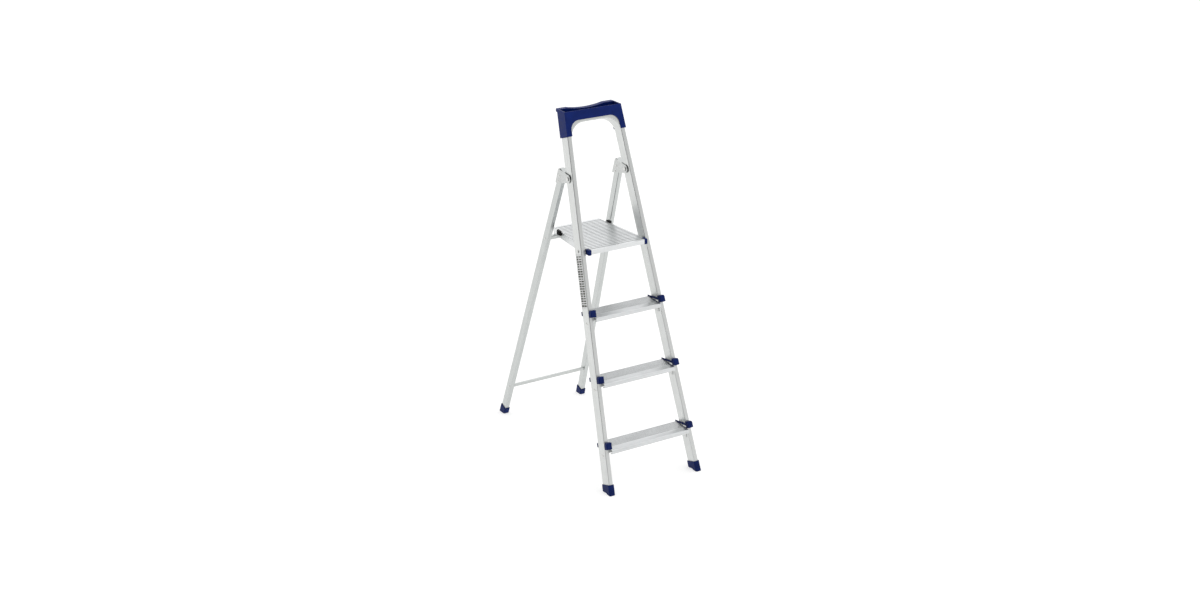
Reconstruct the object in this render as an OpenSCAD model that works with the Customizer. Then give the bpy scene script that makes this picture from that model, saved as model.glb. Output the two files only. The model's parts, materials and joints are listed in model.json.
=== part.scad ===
// Platform step ladder: three treads, a folding platform, a hoop handrail
// and a pair of rear legs that fold flat behind the front frame.
// Millimetres. X runs across the ladder, +Y points to the rear, +Z is up.
// The origin is on the floor, in the middle of the footprint.

/* [Front frame] */
// Outside width of the front frame at the floor
base_w = 399; // [380:1:420]
// Lean of the stiles away from vertical
lean = 18.72; // [17.5:0.01:19.5]
// Inward tilt of each stile within the frame's own plane
splay = 3.36; // [3:0.01:3.6]
// Width of the stile tube, across the ladder
stile_w = 18; // [17:0.5:19]
// Depth of the stile tube, front to back
stile_d = 47; // [44:0.5:48]
// Distance up the stile to the underside of the hoop
hoop_s = 1358; // [1330:1:1400]
// Inner bend radius of the hoop's two corners
hoop_r = 60; // [50:1:66]

/* [Treads and platform] */
// Height of the first tread above the floor
first_tread = 164; // [150:1:175]
// Rise from each tread to the next, and to the platform
tread_pitch = 230; // [225:1:235]
// Depth of a tread, front to back
tread_depth = 84; // [78:1:88]
// Overhang of a tread in front of the stiles
tread_nose = 18; // [12:1:22]
// Depth of the folding platform
deck_depth = 298; // [290:1:302]
// Overhang of the platform in front of the stiles
deck_nose = 20; // [16:1:22]
// Width of the platform at its front edge
deck_front_w = 253; // [246:1:254]

/* [Rear legs] */
// Distance from the stiles' front face to the legs' front face, at the floor
leg_foot_y = 829; // [800:1:850]
// Lean of the rear legs away from vertical
leg_lean = 19.53; // [19:0.01:20]
// Outside width of the rear frame at the floor
leg_base_w = 376; // [366:1:384]
// Width of the leg tube, across the ladder
leg_w = 18; // [17:0.5:19]
// Depth of the leg tube, front to back
leg_d = 31; // [29:0.5:33]
// Height of the hinge pins
hinge_z = 1092; // [1080:1:1100]
// Distance of the hinge pins behind the stiles' front face
hinge_d = 29; // [27:0.5:31]

/* [Fasteners] */
// Diameter of the hinge pins
pin_d = 8; // [7:0.5:9]
// Diameter of the platform's pivot pins
pivot_d = 6; // [5:0.5:7]
// Diameter of the rivet shanks
rivet_d = 4.8; // [4:0.1:5]

/* [Hidden] */

$fn = 48;
LEFT = -1;
RIGHT = 1;
fit = 0.3;                 // gap between plastic fittings and the tubes they hold
run = 0.05;                // radial running clearance of a pin
wall = 1.4;                // wall of the tubes
corner = 3;                // outer corner radius of the tubes
far = 2000;                // longer than the ladder, for cutting tools
seat = 0.05;               // between a rivet's head and the face under it
rivet_head_d = 9;
rivet_head_t = 1.6;

silver = [0.80, 0.81, 0.80];
bright = [0.88, 0.88, 0.87];
blue = [0.05, 0.13, 0.42];
black = [0.06, 0.06, 0.07];

// Rise of the stile's front face and the legs' front face, as Y at a height
function stile_y(z) = z * tan(lean);
function leg_y(z) = leg_foot_y - z * tan(leg_lean);
// Half width over the stiles and over the legs at a height
stile_taper = tan(splay) / cos(lean);
function stile_x(z) = base_w / 2 - z * stile_taper;
hinge_y = stile_y(hinge_z) + hinge_d / cos(lean);
hinge_x = stile_x(hinge_z) - hinge_d * tan(lean) * tan(splay) - stile_w / 2 / cos(splay);
leg_taper = (leg_base_w / 2 - leg_w / 2 - hinge_x) / hinge_z;
leg_splay = atan(leg_taper * cos(leg_lean));
function leg_x(z) = leg_base_w / 2 - z * leg_taper;

shoe_wall = 3;
shoe_h = 40;
boot_h = 27;
front_y = -shoe_wall / cos(lean);
rear_y = leg_foot_y + (leg_d + shoe_wall) / cos(leg_lean);
origin_y = (front_y + rear_y) / 2;

deck_z = first_tread + 3 * tread_pitch;
deck_y = stile_y(deck_z) - deck_nose;
pivot_z = deck_z - 11;
pivot_y = stile_y(pivot_z) + 24 / cos(lean);
rail_t = 2;
rail_h = 23;
deck_t = 3;
deck_slope = 0.09;
function deck_x(y) = deck_front_w / 2 - (y - deck_y) * deck_slope;

ear_t = 2;
ear_gap = 2.4;             // from the stile to an ear, on the hinge axis
ear_in = stile_w / 2 + ear_gap;

bar_z = 820.5;
bar_w = 18;
bar_h = 14;
bar_back = 18;             // from the legs' front face to the middle of the latch bar
bar_y = leg_y(bar_z) + bar_back;
cross_z = 131;
cross_w = 10;
cross_h = 12;
cross_back = 12;

// ---- frames of reference ----

// X across, Y through the depth of the stiles, Z up along them
module front_space() {
    translate([0, -origin_y, 0]) rotate([-lean, 0, 0]) children();
}

// The same, with the origin on one stile's outer face: X outwards, Z along the stile
module stile_space(side) {
    front_space() mirror([side < 0 ? 1 : 0, 0, 0])
        translate([base_w / 2, 0, 0]) rotate([0, -splay, 0]) children();
}

// The legs' plane: Y through the depth of the legs, Z up along them
module rear_space() {
    translate([0, leg_foot_y - origin_y, 0]) rotate([leg_lean, 0, 0]) children();
}

module leg_space(side) {
    rear_space() mirror([side < 0 ? 1 : 0, 0, 0])
        translate([leg_base_w / 2, 0, 0]) rotate([0, -leg_splay, 0]) children();
}

// Level axes, with Y = 0 at the stiles' front face on the floor
module level_space() {
    translate([0, -origin_y, 0]) children();
}

module sided(side) {
    mirror([side < 0 ? 1 : 0, 0, 0]) children();
}

// Everything above the floor
module above_floor() {
    intersection() {
        children();
        translate([-far / 2, -far / 2, 0]) cube([far, far, far]);
    }
}

// ---- plain shapes ----

module rounded_rect(w, h, r) {
    translate([r, 0]) square([w - 2 * r, h]);
    translate([0, r]) square([w, h - 2 * r]);
    for (x = [r, w - r], y = [r, h - r]) translate([x, y]) circle(r = r);
}

module tube_section(w, d) {
    difference() {
        rounded_rect(w, d, corner);
        translate([wall, wall]) rounded_rect(w - 2 * wall, d - 2 * wall, corner - wall);
    }
}

// A cylinder along +X
module across(d, length) {
    rotate([0, 90, 0]) cylinder(d = d, h = length);
}

// A rivet along +X through a stack of the given thickness, which starts at the origin
module rivet(stack) {
    for (x = [-rivet_head_t - seat, stack + seat])
        translate([x, 0, 0]) across(rivet_head_d, rivet_head_t);
    translate([-rivet_head_t - seat, 0, 0]) across(rivet_d, stack + 2 * (rivet_head_t + seat));
}

// The hole that such a rivet fills
module rivet_hole(stack) {
    translate([-2, 0, 0]) across(rivet_d + 2 * run, stack + 4);
}

// A wedge that fills the gap between the stiles, held back from each by a margin
module between_stiles(margin, depth) {
    front_space() translate([0, depth / 2, 0]) rotate([90, 0, 0]) linear_extrude(depth)
        polygon([
            [-(base_w / 2 - stile_w / cos(splay) - margin), 0],
            [base_w / 2 - stile_w / cos(splay) - margin, 0],
            [base_w / 2 - stile_w / cos(splay) - margin - far / 2 * tan(splay), far / 2],
            [-(base_w / 2 - stile_w / cos(splay) - margin - far / 2 * tan(splay)), far / 2]]);
}

// A wedge that fills the gap between the legs
module between_legs(margin) {
    rear_space() translate([0, far / 4, 0]) rotate([90, 0, 0]) linear_extrude(far / 2)
        polygon([
            [-(leg_base_w / 2 - leg_w / cos(leg_splay) - margin), 0],
            [leg_base_w / 2 - leg_w / cos(leg_splay) - margin, 0],
            [leg_base_w / 2 - leg_w / cos(leg_splay) - margin - far / 2 * tan(leg_splay), far / 2],
            [-(leg_base_w / 2 - leg_w / cos(leg_splay) - margin - far / 2 * tan(leg_splay)),
             far / 2]]);
}

// ---- front frame ----

bend_s = hoop_s - hoop_r;
bend_x = (base_w / 2 * cos(splay) - stile_w - hoop_r - bend_s * sin(splay)) / cos(splay);
stile_len = (base_w / 2 - bend_x) * sin(splay) + bend_s * cos(splay);
stile_start = (5 + stile_d * sin(lean)) / cos(lean);

seam = 0.1;                // between the ends of tubes that meet
spigot_fit = 0.5;
spigot_in = 22;
spigot_out = 6;

module stile(side) {
    color(silver) difference() {
        stile_space(side) translate([-stile_w, 0, stile_start])
            linear_extrude(stile_len - stile_start - seam) tube_section(stile_w, stile_d);
        level_space() sided(side) translate([hinge_x - 30, hinge_y, hinge_z])
            across(pin_d + 2 * run, 60);
        level_space() sided(side) translate([stile_x(pivot_z) - 40, pivot_y, pivot_z])
            across(pivot_d + 2 * run, 60);
        for (n = [1 : 3]) at_cleat_rivets(n, side) rivet_hole(stile_w);
    }
}

// One rounded corner of the hoop
module hoop_bend(side) {
    color(silver) front_space() sided(side) translate([bend_x, 0, bend_s])
        rotate([90, -splay, 0]) rotate_extrude(angle = 90 - splay, $fn = 96)
            translate([hoop_r, -stile_d]) tube_section(stile_w, stile_d);
}

// Straight top of the hoop, between the two bends
module hoop_rail() {
    color(silver) difference() {
        front_space() translate([bend_x - seam, 0, hoop_s]) rotate([0, -90, 0])
            linear_extrude(2 * (bend_x - seam)) tube_section(stile_w, stile_d);
        at_cap_screws() screw_hole();
    }
}

// Spigots inside the tubes that join the bends to the stiles and to the rail
module hoop_spigots() {
    inset = wall + spigot_fit;
    color(black) for (side = [LEFT, RIGHT]) {
        stile_space(side) translate([inset - stile_w, inset, stile_len - spigot_in])
            linear_extrude(spigot_in + spigot_out)
                rounded_rect(stile_w - 2 * inset, stile_d - 2 * inset, corner - wall);
        front_space() sided(side)
            translate([bend_x + spigot_out, inset, hoop_s + inset]) rotate([0, -90, 0])
                linear_extrude(spigot_in + spigot_out)
                    rounded_rect(stile_w - 2 * inset, stile_d - 2 * inset, corner - wall);
    }
}

// Shoe on a stile: a socket for the tube on a wedge-shaped sole with a shallow arch
module front_foot(side) {
    color(blue) difference() {
        above_floor() stile_space(side)
            translate([-stile_w - shoe_wall, -shoe_wall, -20])
                linear_extrude(shoe_h + 20)
                    rounded_rect(stile_w + 2 * shoe_wall, stile_d + 2 * shoe_wall, corner + 2);
        stile_space(side) translate([-stile_w, 0, stile_start])
            linear_extrude(shoe_h) rounded_rect(stile_w, stile_d, corner);
        level_space() sided(side) translate([base_w / 2 - 50, 20, -10])
            cube([80, 16, 12]);
        for (z = [12, 19, 26])
            stile_space(side) translate([-stile_w - shoe_wall - 1, -shoe_wall - 0.1, z])
                cube([stile_w + 2 * shoe_wall + 2, 1, 2]);
    }
}

// ---- cap over the hoop, with a tool tray on top ----

cap_wall = 2.8;
cap_s = 1312;
cap_top = 1328;
arch_s = 1366.5;
arch_r = 36;
tray_floor = 1312;
rim_h = 12;                // height of the lip behind the tray
rim_out = 14;
tray_back = stile_y(cap_top - 6) + (stile_d + cap_wall + fit) / cos(lean) - 3;

function cap_half(s) = base_w / 2 - s * tan(splay) + cap_wall + fit;

module cap_outline() {
    arch_half = cap_half(cap_s + 30) - stile_w - cap_wall;
    difference() {
        polygon([
            [-cap_half(cap_s), cap_s], [cap_half(cap_s), cap_s],
            [cap_half(cap_s + 130), cap_s + 130], [-cap_half(cap_s + 130), cap_s + 130]]);
        translate([-arch_half, cap_s - 1]) square([2 * arch_half, arch_s - arch_r - cap_s + 1]);
        translate([-arch_half + arch_r, cap_s]) square([2 * (arch_half - arch_r), arch_s - cap_s]);
        for (x = [-arch_half + arch_r, arch_half - arch_r])
            translate([x, arch_s - arch_r]) circle(r = arch_r, $fn = 96);
    }
}

module top_cap() {
    tray_half = cap_half(cap_s + 100) - cap_wall - 2;
    low = cap_s - 2;
    roof = hoop_s + stile_w + fit;
    color(blue) difference() {
        union() {
            intersection() {
                front_space() translate([0, stile_d + cap_wall + fit, 0]) rotate([90, 0, 0])
                    linear_extrude(stile_d + 2 * (cap_wall + fit)) cap_outline();
                translate([-far / 2, -far / 2, 0]) cube([far, far, cap_top]);
            }
            level_space() translate([-tray_half - cap_wall, tray_back, cap_top - rim_h])
                cube([2 * (tray_half + cap_wall), rim_out, rim_h]);
        }
        front_space() translate([0, stile_d + fit, 0]) rotate([90, 0, 0])
            linear_extrude(stile_d + 2 * fit) polygon([
                [-cap_half(low) + cap_wall, low], [cap_half(low) - cap_wall, low],
                [cap_half(roof) - cap_wall, roof], [-cap_half(roof) + cap_wall, roof]]);
        level_space() translate([-tray_half, stile_y(tray_floor) + 4, tray_floor])
            cube([2 * tray_half, stile_d - 4, 40]);
        level_space() translate([0, stile_y(cap_top) + stile_d + 30, cap_top + 372])
            rotate([90, 0, 0]) cylinder(r = 380, h = 60, $fn = 128);
        at_cap_screws() screw_hole();
    }
}

// Two screws that hold the cap to the back of the hoop, head first from behind
screw_d = 3.6;
screw_stack = wall + fit + cap_wall;
module at_cap_screws() {
    front_space() for (x = [-12, 12])
        translate([x, stile_d - wall - 3, hoop_s + stile_w / 2 + 1]) rotate([-90, 0, 0])
            children();
}

module screw_hole() {
    cylinder(d = screw_d + 2 * run, h = 3 + screw_stack + 1);
}

module cap_screws() {
    color(bright) at_cap_screws() {
        cylinder(d = screw_d, h = 3 + screw_stack + 1);
        translate([0, 0, 3 + screw_stack + seat]) cylinder(d = 8, h = 1.8);
    }
}

// ---- treads ----

tread_t = 18;
rib_pitch = 8;
clamp_wall = 3;
clamp_gap = 0.2;

// Section of a tread, seen from its right end: Y to the rear, Z up, top face at z = 0
nose_d = 24;               // smooth front strip, which slopes down to the nose
nose_drop = 3;
groove_depth = 1;
module tread_section() {
    rib_n = floor((tread_depth - nose_d - 12) / rib_pitch);
    difference() {
        union() {
            polygon([
                [0, -tread_t], [7, -tread_t], [7, 2 - tread_t], [2, 2 - tread_t],
                [2, -nose_drop - 2.2], [nose_d, -2.2], [tread_depth - 2, -2.2],
                [tread_depth - 2, 2 - tread_t], [tread_depth - 7, 2 - tread_t],
                [tread_depth - 7, -tread_t], [tread_depth, -tread_t], [tread_depth, 0],
                [nose_d, 0], [0, -nose_drop]]);
            for (y = [26, tread_depth - 28]) translate([y, -9]) square([1.6, 8]);
            for (y = [24, tread_depth - 30]) translate([y, -10]) square([5.6, 1.6]);
        }
        for (i = [0 : rib_n]) translate([nose_d + 4 + i * rib_pitch, -groove_depth])
            square([3, 2]);
        difference() {
            translate([-1, -nose_drop - 3]) square([4, 7]);
            translate([3, -nose_drop - 2.7]) circle(r = 3);
        }
    }
}

module tread(n) {
    z = first_tread + (n - 1) * tread_pitch;
    color(silver) intersection() {
        level_space() translate([-far / 8, stile_y(z) - tread_nose, z])
            rotate([90, 0, 90]) linear_extrude(far / 4) tread_section();
        between_stiles(clamp_wall + 2 * clamp_gap, far / 4);
    }
}

// Blue clamp round a stile at one end of a tread: a lug across the front of the
// stile, a strap between stile and tread, and a nib behind the stile
lug = 19;
lug_h = 26;
lug_r = 9;
nib_h = 16;
nib_t = 5;
strap_h = 7;
strap_rise = 13;           // from the top of the tread to the strap, at the stile's front
strap_slope = 8;
module clamp(n, side) {
    z = first_tread + (n - 1) * tread_pitch;
    inner = -stile_w - clamp_wall - clamp_gap;
    top = z / cos(lean) + 24;
    lug_w = stile_w + clamp_wall + 1;
    color(blue) difference() {
        union() {
            intersection() {
                stile_space(side) translate([inner, -lug, top - 60])
                    cube([clamp_wall, lug + tread_depth - 16, 90]);
                level_space() translate([-far / 2, stile_y(z), z + strap_rise - strap_h])
                    rotate([-strap_slope, 0, 0]) translate([0, -far / 2, 0])
                        cube([far, far, strap_h]);
            }
            stile_space(side) translate([inner, -clamp_gap, top - lug_h]) rotate([90, 0, 0])
                linear_extrude(lug - clamp_gap) union() {
                    square([lug_w, lug_h - lug_r]);
                    square([lug_w - lug_r, lug_h]);
                    translate([lug_w - lug_r, lug_h - lug_r]) circle(r = lug_r);
                }
            stile_space(side) translate([inner, stile_d + clamp_gap, top - nib_h - 4])
                cube([lug_w, nib_t, nib_h]);
        }
        stile_space(side) translate([1 - 5, -lug, 0]) difference() {
            translate([0, -1, 0]) cube([6, 6, far]);
            translate([0, 5, 0]) cylinder(r = 5, h = far);
        }
    }
}

// Angle plate under one end of a tread, riveted to the stile through the clamp
cleat_t = 2;
cleat_d = 24;
cleat_h = 24;
module cleat(n, side) {
    z = first_tread + (n - 1) * tread_pitch;
    color(bright) intersection() {
        level_space() sided(side)
            translate([0, stile_y(z - 20) + 8, z - tread_t - cleat_h])
                cube([far / 8, cleat_d, cleat_h - 0.2]);
        difference() {
            between_stiles(clamp_gap, far / 4);
            intersection() {
                between_stiles(clamp_gap + cleat_t, far / 4);
                translate([-far / 2, -far / 2, 0]) cube([far, far, z - tread_t - cleat_t]);
            }
            between_stiles(clamp_gap + 24, far / 4);
            at_cleat_rivets(n, side) rivet_hole(cleat_stack);
        }
    }
}

cleat_rivet_z = tread_t + 13;
cleat_stack = stile_w + clamp_gap + cleat_t;

// Outer ends of the two rivets under one end of a tread
module at_cleat_rivets(n, side) {
    z = first_tread + (n - 1) * tread_pitch - cleat_rivet_z;
    for (d = [16.5, 27]) stile_space(side)
        translate([0, d, (z + d * sin(lean)) / cos(lean) / cos(splay)])
            rotate([0, 180, 0]) children();
}

module tread_rivets() {
    color(bright) for (n = [1 : 3], side = [LEFT, RIGHT])
        at_cleat_rivets(n, side) rivet(cleat_stack);
}

// ---- label ----

module stile_label() {
    color([0.75, 0.76, 0.76]) stile_space(LEFT) translate([0.02, 3, 690])
        cube([0.35, stile_d - 6, 200]);
}

// ---- hinges ----

// Pin along the hinge axis, with a broad head on each side
module hinge_pin(side) {
    length = 2 * (ear_in + ear_t) + 1.2;
    color(bright) level_space() sided(side)
        translate([hinge_x - length / 2, hinge_y, hinge_z]) {
            across(pin_d, length);
            translate([-2.4, 0, 0]) across(15, 2.4);
            translate([length, 0, 0]) across(15, 2.4);
        }
}

module washer(outer, inner, t) {
    difference() {
        across(outer, t);
        translate([-1, 0, 0]) across(inner, t + 2);
    }
}

module hinge_washers() {
    t = 1.2;
    color(black) level_space() for (side = [LEFT, RIGHT], k = [-1, 1])
        sided(side) translate([hinge_x + k * (ear_in - t / 2 - seat) - t / 2, hinge_y, hinge_z])
            washer(17, pin_d + 2 * run, t);
}

// Side view of an ear: round about the pin, reaching back over the leg
ear_r = 16;
module ear_outline() {
    top_y = leg_y(hinge_z + 22) + leg_d / cos(leg_lean);
    low_y = leg_y(hinge_z - 36) + leg_d / cos(leg_lean);
    translate([hinge_y, hinge_z]) circle(r = ear_r);
    polygon([
        [hinge_y + ear_r * sin(lean), hinge_z + ear_r * cos(lean)],
        [top_y, hinge_z + 22],
        [low_y, hinge_z - 36],
        [hinge_y - ear_r * sin(lean), hinge_z - ear_r * cos(lean)]]);
}

// Pressed channel that holds the top of a leg and swings on the hinge pin
module hinge_bracket(side) {
    web = 2;
    color(silver) level_space() sided(side) difference() {
        translate([hinge_x - ear_in - ear_t, 0, 0]) rotate([90, 0, 90]) union() {
            linear_extrude(ear_t) ear_outline();
            translate([0, 0, 2 * ear_in + ear_t]) linear_extrude(ear_t) ear_outline();
            linear_extrude(2 * (ear_in + ear_t)) polygon([
                [leg_y(hinge_z + 22) + leg_d / cos(leg_lean), hinge_z + 22],
                [leg_y(hinge_z - 36) + leg_d / cos(leg_lean), hinge_z - 36],
                [leg_y(hinge_z - 36) + (leg_d + web) / cos(leg_lean), hinge_z - 36],
                [leg_y(hinge_z + 22) + (leg_d + web) / cos(leg_lean), hinge_z + 22]]);
        }
        translate([hinge_x - 40, hinge_y, hinge_z]) across(pin_d + 2 * run, 80);
        bracket_rivet_holes();
    }
}

// Two rivets through both ears and the leg between them, on the right side
bracket_stack = 2 * (ear_in + ear_t);
module at_bracket_rivets() {
    for (z = [hinge_z - 4, hinge_z - 26])
        translate([hinge_x - bracket_stack / 2, leg_y(z) + 17, z]) children();
}

module bracket_rivet_holes() {
    at_bracket_rivets() rivet_hole(bracket_stack);
}

module bracket_rivets() {
    color(bright) level_space() for (side = [LEFT, RIGHT])
        sided(side) at_bracket_rivets() rivet(bracket_stack);
}

// ---- rear legs ----

leg_start = 6.5;
leg_end = (hinge_z + 16) / cos(leg_lean);

module leg(side) {
    color(silver) difference() {
        leg_space(side) translate([-leg_w, 0, leg_start])
            linear_extrude(leg_end - leg_start) tube_section(leg_w, leg_d);
        level_space() sided(side) bracket_rivet_holes();
        at_bar_rivet(side, cross_back, cross_z) rivet_hole(leg_w);
        at_bar_rivet(side, bar_back, bar_z) rivet_hole(leg_w);
    }
}

// Boot on a leg, square to the tube, with a flat sole
module rear_foot(side) {
    color(blue) difference() {
        above_floor() leg_space(side)
            translate([-leg_w - shoe_wall, -shoe_wall, -20])
                linear_extrude(boot_h + 20)
                    rounded_rect(leg_w + 2 * shoe_wall, leg_d + 2 * shoe_wall, corner + 2);
        leg_space(side) translate([-leg_w, 0, leg_start])
            linear_extrude(boot_h) rounded_rect(leg_w, leg_d, corner);
    }
}

// A hollow bar between the legs, cut to their splay
module leg_bar(y, z, d, h) {
    intersection() {
        level_space() translate([-far / 8, y - d / 2, z - h / 2])
            rotate([90, 0, 90]) linear_extrude(far / 4) difference() {
                rounded_rect(d, h, 2.5);
                translate([1.2, 1.2]) rounded_rect(d - 2.4, h - 2.4, 1.3);
            }
        between_legs(0.1);
    }
}

module rear_crossbar() {
    color(silver) leg_bar(leg_y(cross_z) + cross_back, cross_z, cross_w, cross_h);
}

module latch_bar() {
    color(silver) leg_bar(bar_y, bar_z, bar_w, bar_h);
}

// Outer end of the rivet through a leg into a bar that lies behind the leg's front face
module at_bar_rivet(side, back, z) {
    leg_space(side)
        translate([0, back * cos(leg_lean),
                   z / cos(leg_lean) / cos(leg_splay) - back * sin(leg_lean)])
            rotate([0, 180, 0]) children();
}

module leg_bar_rivets(back, z) {
    for (side = [LEFT, RIGHT]) at_bar_rivet(side, back, z) {
        translate([-rivet_head_t - seat, 0, 0]) across(rivet_head_d, rivet_head_t);
        translate([-rivet_head_t - seat, 0, 0]) across(rivet_d, leg_w + 14);
    }
}

module crossbar_rivets() {
    color(bright) leg_bar_rivets(cross_back, cross_z);
}

module latch_rivets() {
    color(bright) leg_bar_rivets(bar_back, bar_z);
}

// ---- platform ----

// Plan of the deck between two distances in from its slanted edges
module deck_plan(inset, y0, y1) {
    polygon([
        [-(deck_x(y0) - inset), y0], [deck_x(y0) - inset, y0],
        [deck_x(y1) - inset, y1], [-(deck_x(y1) - inset), y1]]);
}

deck_end = deck_y + deck_depth;
groove_pitch = 14;
groove_n = floor((deck_depth - 24) / groove_pitch);
stay_pitch = 20;           // between the stiffening ribs under the deck
stay_n = floor((deck_depth - 30) / stay_pitch);

// Section of the deck from its right side: a ribbed plate with a nose and a rear lip
module deck_section() {
    difference() {
        union() {
            translate([0, -deck_t]) square([deck_depth, deck_t]);
            translate([0, -17]) square([2.2, 17]);
            translate([0, -17]) square([9, 2.2]);
            translate([deck_depth - 2.2, -14]) square([2.2, 14]);
            for (i = [1 : stay_n])
                translate([8 + i * stay_pitch, -7]) square([1.6, 5]);
        }
        for (i = [0 : groove_n])
            translate([12 + i * groove_pitch, -groove_depth - 0.2]) square([4.5, 2]);
    }
}

module deck() {
    color(bright) level_space() intersection() {
        translate([-far / 8, deck_y, deck_z]) rotate([90, 0, 90])
            linear_extrude(far / 4) deck_section();
        translate([0, 0, deck_z - 40]) linear_extrude(60)
            difference() {
                deck_plan(0, deck_y, deck_end);
                for (side = [LEFT, RIGHT]) sided(side) {
                    translate([deck_x(deck_y) - corner_w - 0.2, deck_y - 2])
                        square([20, corner_d + 2.2]);
                    at_rail_rivets() circle(d = rivet_d + 2 * run);
                }
            }
    }
}

// Middles of the three rivets along one edge of the deck, in plan
module at_rail_rivets() {
    for (y = [deck_y + 64, deck_y + 144, deck_y + 224]) translate([deck_x(y) - 8, y]) children();
}

// Angle-section rail under one edge of the deck
rail_y0 = deck_y + 24;
rail_y1 = deck_end - 3;
module deck_rail(side) {
    color(silver) level_space() sided(side) difference() {
        translate([0, 0, deck_z - deck_t - rail_h]) linear_extrude(rail_h - 0.1)
            polygon([
                [deck_x(rail_y0) - 14, rail_y0], [deck_x(rail_y0), rail_y0],
                [deck_x(rail_y1), rail_y1], [deck_x(rail_y1) - 14, rail_y1]]);
        translate([0, 0, deck_z - deck_t - rail_h - 1]) linear_extrude(rail_h - rail_t + 0.9)
            polygon([
                [deck_x(rail_y0) - 20, rail_y0 - 1], [deck_x(rail_y0) - rail_t, rail_y0 - 1],
                [deck_x(rail_y1) - rail_t, rail_y1 + 1], [deck_x(rail_y1) - 20, rail_y1 + 1]]);
        for (i = [1 : stay_n])
            translate([0, deck_y + 7 + i * stay_pitch, deck_z - deck_t - 4.2])
                cube([far, 3.6, 5]);
        translate([deck_x(pivot_y) - 20, pivot_y, pivot_z]) across(pivot_d + 2 * run, 40);
        translate([0, 0, deck_z - 20]) linear_extrude(30)
            at_rail_rivets() circle(d = rivet_d + 2 * run);
        at_hook_rivet() translate([-20, 0, 0]) across(rivet_d + 2 * run, 40);
        translate([0, hook_y0 + 3 - fit, neck_z - fit])
            cube([far, hook_d - 6 + 2 * fit, neck_h + 2 * fit]);
    }
}

module rail_rivets() {
    color(bright) level_space() for (side = [LEFT, RIGHT])
        sided(side) translate([0, 0, deck_z - deck_t - rail_t - 1.8])
            at_rail_rivets() cylinder(d = rivet_d, h = deck_t + rail_t + 1.6);
}

// Blue end cap that fills a notch in a front corner of the deck
corner_w = 12;
corner_d = 22;
module deck_cap(side) {
    color(blue) level_space() sided(side) difference() {
        translate([deck_x(deck_y) - corner_w, deck_y - 1.5, deck_z - 19])
            cube([corner_w, corner_d + 1.5, 20]);
        translate([deck_x(deck_y) - corner_w - 1, deck_y + 8, deck_z - 30])
            cube([corner_w - 3, 20, 24]);
    }
}

// Bearing of the platform in the stiles
module pivot_pin(side) {
    inner = deck_x(pivot_y) - rail_t - 3.4;
    outer = stile_x(pivot_z) + 2.2;
    color(bright) level_space() sided(side) translate([inner, pivot_y, pivot_z]) {
        across(pivot_d, outer - inner);
        across(11, 2.6);
        translate([outer - inner - 1.8, 0, 0]) across(11, 1.8);
    }
}

module pivot_washers() {
    gap = stile_x(pivot_z) - stile_w - deck_x(pivot_y);
    color(black) level_space() for (side = [LEFT, RIGHT])
        sided(side) translate([deck_x(pivot_y) + gap / 2 - 0.4, pivot_y, pivot_z])
            washer(12, pivot_d + 2 * run, 0.8);
}

// Black hook on a rail: a block outside the rail, a neck through a window in it, and inside
// it an arm that runs back over the latch bar, rests on it and drops a lip behind it
hook_out = 115.2;          // outer face, clear of the stiles when the platform folds up
hook_y0 = deck_y + 227;
hook_d = 26;
hook_low = deck_z - 9;
hook_top = deck_z + 5;
neck_z = deck_z - 12;
neck_h = 4;
arm_in = 84;
arm_top = deck_z - 15;
module latch_hook(side) {
    seat_z = bar_z + bar_h / 2 + fit;
    lip_y = bar_y + bar_w / 2 + 0.8;
    hook_y1 = hook_y0 + hook_d;
    arm_x = deck_x(lip_y + 5) - rail_t - fit;
    color(black) level_space() sided(side) difference() {
        union() {
            translate([0, 0, neck_z]) linear_extrude(hook_top - neck_z) polygon([
                [deck_x(hook_y0) + fit, hook_y0], [hook_out, hook_y0 + 4],
                [hook_out, hook_y1 - 4], [deck_x(hook_y1) + fit, hook_y1]]);
            translate([arm_in, hook_y0 + 3, neck_z])
                cube([hook_out - 3 - arm_in, hook_d - 6, neck_h]);
            translate([arm_in, 0, 0]) rotate([90, 0, 90]) linear_extrude(arm_x - arm_in)
                polygon([
                    [hook_y0, seat_z], [lip_y, seat_z], [lip_y, seat_z - 12],
                    [lip_y + 5, seat_z - 12], [lip_y + 5, arm_top], [hook_y1, arm_top],
                    [hook_y1 - 2, neck_z + neck_h], [hook_y0, neck_z + neck_h]]);
        }
        at_hook_rivet() translate([-20, 0, 0]) across(rivet_d + 2 * run, 40);
    }
}

// Outer face of a rail's web where its hook is riveted on from outside
module at_hook_rivet() {
    y = hook_y0 + hook_d / 2;
    translate([deck_x(y), y, arm_top - 5.2]) children();
}

module hook_rivets() {
    color(bright) level_space() for (side = [LEFT, RIGHT]) sided(side) at_hook_rivet() {
        translate([0.4, 0, 0]) across(rivet_head_d, rivet_head_t);
        translate([-14, 0, 0]) across(rivet_d, 15);
    }
}

stile(LEFT);  // stile_left
stile(RIGHT);  // stile_right
hoop_bend(LEFT);  // hoop_bend_left
hoop_bend(RIGHT);  // hoop_bend_right
hoop_rail();
hoop_spigots();
front_foot(LEFT);  // front_foot_left
front_foot(RIGHT);  // front_foot_right
top_cap();
cap_screws();
stile_label();
tread(1);  // tread_1
tread(2);  // tread_2
tread(3);  // tread_3
clamp(1, LEFT);  // clamp_1_left
clamp(1, RIGHT);  // clamp_1_right
clamp(2, LEFT);  // clamp_2_left
clamp(2, RIGHT);  // clamp_2_right
clamp(3, LEFT);  // clamp_3_left
clamp(3, RIGHT);  // clamp_3_right
cleat(1, LEFT);  // cleat_1_left
cleat(1, RIGHT);  // cleat_1_right
cleat(2, LEFT);  // cleat_2_left
cleat(2, RIGHT);  // cleat_2_right
cleat(3, LEFT);  // cleat_3_left
cleat(3, RIGHT);  // cleat_3_right
tread_rivets();
hinge_pin(LEFT);  // hinge_pin_left
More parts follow.
